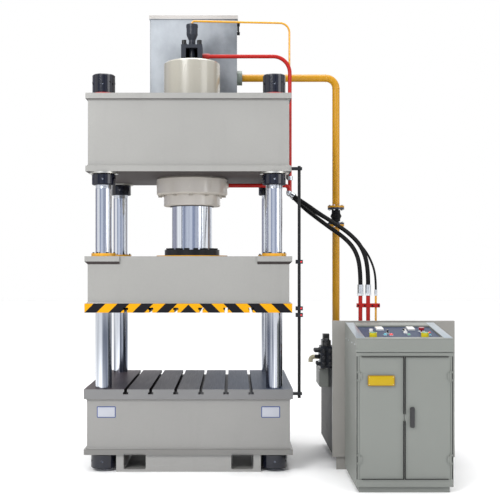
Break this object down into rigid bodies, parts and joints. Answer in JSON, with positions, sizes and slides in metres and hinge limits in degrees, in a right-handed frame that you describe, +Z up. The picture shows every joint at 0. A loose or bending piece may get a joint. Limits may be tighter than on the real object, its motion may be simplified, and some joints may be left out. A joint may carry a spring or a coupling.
{
  "type": "hydraulic press",
  "caption": "Four-column hydraulic press with a T-slotted bed and slide, overhead cylinder and filling tank, joined by pipes and hoses to a power unit and a control console.",
  "frame": {"origin": "on the floor, under the middle of the press's bed", "axes": "+X to the right towards the power unit, +Y from the front to the back, +Z up"},
  "size_m": [2.678, 1.852, 3.511],
  "materials": {
    "press_paint": "light grey paint",
    "machined_steel": "machined",
    "chrome_column": "hard chrome",
    "dark_nut": "gloss black",
    "pale_steel": "plain steel",
    "cream_paint": "gloss cream paint",
    "valve_black": "satin black",
    "screw_black": "black oxide",
    "tank_grey": "silver grey paint",
    "ochre_paint": "gloss ochre paint",
    "red_paint": "gloss red paint",
    "yellow_paint": "gloss yellow paint",
    "navy_paint": "gloss navy paint",
    "black_rubber": "matt",
    "zinc_fitting": "zinc plated",
    "bronze": "machined bronze",
    "unit_dark": "dark grey paint",
    "cabinet_grey": "fine textured grey paint",
    "panel_blue": "blue grey panel",
    "motor_green": "motor paint",
    "duct_cream": "cream plastic",
    "button_green": "gloss green",
    "button_red": "gloss red",
    "button_white": "gloss white",
    "button_black": "gloss black",
    "handle_black": "matt black",
    "cast_pump": "cast iron"
  },
  "bodies": {
    "press": {"bed": "press_paint", "bed_table": "machined_steel", "columns": "chrome_column", "column_nuts": "dark_nut", "column_washers": "pale_steel", "top_beam": "press_paint", "cylinder_barrel": "cream_paint", "cylinder_gland": "cream_paint", "cylinder_nut": "dark_nut", "cylinder_bolts": "screw_black", "prefill_valve": "valve_black", "prefill_bonnet": "valve_black", "suction_pipe": "valve_black", "filling_tank": "tank_grey", "filling_tank_lid": "tank_grey", "return_pipes": "ochre_paint", "expansion_bellows": "black_rubber", "pipe_flanges": "navy_paint", "pressure_pipes": "red_paint", "pilot_pipes": "yellow_paint", "hose_pressure_a": "black_rubber", "hose_pressure_b": "black_rubber", "hose_pilot": "black_rubber", "hose_fittings": "zinc_fitting", "pipe_clamp": "red_paint", "position_rod": "screw_black", "rod_clamps": "valve_black", "reservoir": "unit_dark", "unit_cover": "cabinet_grey", "pump_motor": "motor_green", "bellhousing": "cast_pump", "pump": "cast_pump", "valve_manifold": "pale_steel", "solenoid_valves": "handle_black", "junction_box": "cabinet_grey", "cable_ducts": "duct_cream", "console_cabinet": "cabinet_grey", "control_panel": "panel_blue", "panel_guards": "yellow_paint", "door_hinges": "pale_steel", "mounting_plate": "pale_steel"},
    "slide": {"slide_beam": "press_paint", "slide_platen": "machined_steel", "guide_bushes": "bronze", "wiper_covers": "yellow_paint", "slide_bolts": "screw_black", "rod_seat_plate": "yellow_paint", "rod_flange": "valve_black", "piston_rod": "chrome_column"},
    "left_door": {"door_left": "cabinet_grey"},
    "right_door": {"door_right": "cabinet_grey"},
    "handle": {"lock_handle": "handle_black"},
    "coupling": {"shaft_coupling": "pale_steel"},
    "left_palm": {"palm_button_left": "button_green"},
    "right_palm": {"palm_button_right": "button_green"},
    "stop": {"stop_button": "button_red"},
    "reset": {"reset_button": "button_white"},
    "start": {"start_button": "button_black"},
    "left_selector": {"selector_left": "button_black"},
    "right_selector": {"selector_right": "button_white"}
  },
  "joints": [
    {"name": "slide_stroke", "type": "slide", "parent": "press", "child": "slide", "axis": [0, 0, 1], "range_m": [-0.48, 0.32]},
    {"name": "left_door_hinge", "type": "hinge", "parent": "press", "child": "left_door", "pos_m": [1.142, -1.196, 0.491], "axis": [0, 0, -1], "range_deg": [0, 110]},
    {"name": "right_door_hinge", "type": "hinge", "parent": "press", "child": "right_door", "pos_m": [1.738, -1.196, 0.491], "axis": [0, 0, 1], "range_deg": [0, 110]},
    {"name": "handle_turn", "type": "hinge", "parent": "right_door", "child": "handle", "pos_m": [1.488, -1.19, 0.495], "axis": [0, 1, 0], "range_deg": [0, 90]},
    {"name": "coupling_spin", "type": "hinge", "parent": "press", "child": "coupling", "pos_m": [1.45, 0.17, 0.88], "axis": [1, 0, 0], "continuous": true},
    {"name": "left_palm_press", "type": "slide", "parent": "press", "child": "left_palm", "axis": [0, 0.1097, -0.994], "range_m": [0, 0.004], "stiffness_N_per_m": 900, "springref_m": -0.0015},
    {"name": "right_palm_press", "type": "slide", "parent": "press", "child": "right_palm", "axis": [0, 0.1097, -0.994], "range_m": [0, 0.004], "stiffness_N_per_m": 900, "springref_m": -0.0015},
    {"name": "stop_press", "type": "slide", "parent": "press", "child": "stop", "axis": [0, 0.1097, -0.994], "range_m": [0, 0.004], "stiffness_N_per_m": 900, "springref_m": -0.0015},
    {"name": "reset_press", "type": "slide", "parent": "press", "child": "reset", "axis": [0, 0.1097, -0.994], "range_m": [0, 0.0025], "stiffness_N_per_m": 900, "springref_m": -0.0015},
    {"name": "start_press", "type": "slide", "parent": "press", "child": "start", "axis": [0, 0.1097, -0.994], "range_m": [0, 0.0025], "stiffness_N_per_m": 900, "springref_m": -0.0015},
    {"name": "left_selector_turn", "type": "hinge", "parent": "press", "child": "left_selector", "pos_m": [1.37, -0.93654, 1.03598], "axis": [0, -0.1097, 0.994], "range_deg": [-45, 45]},
    {"name": "right_selector_turn", "type": "hinge", "parent": "press", "child": "right_selector", "pos_m": [1.492, -0.93654, 1.03598], "axis": [0, -0.1097, 0.994], "range_deg": [-45, 45]}
  ]
}
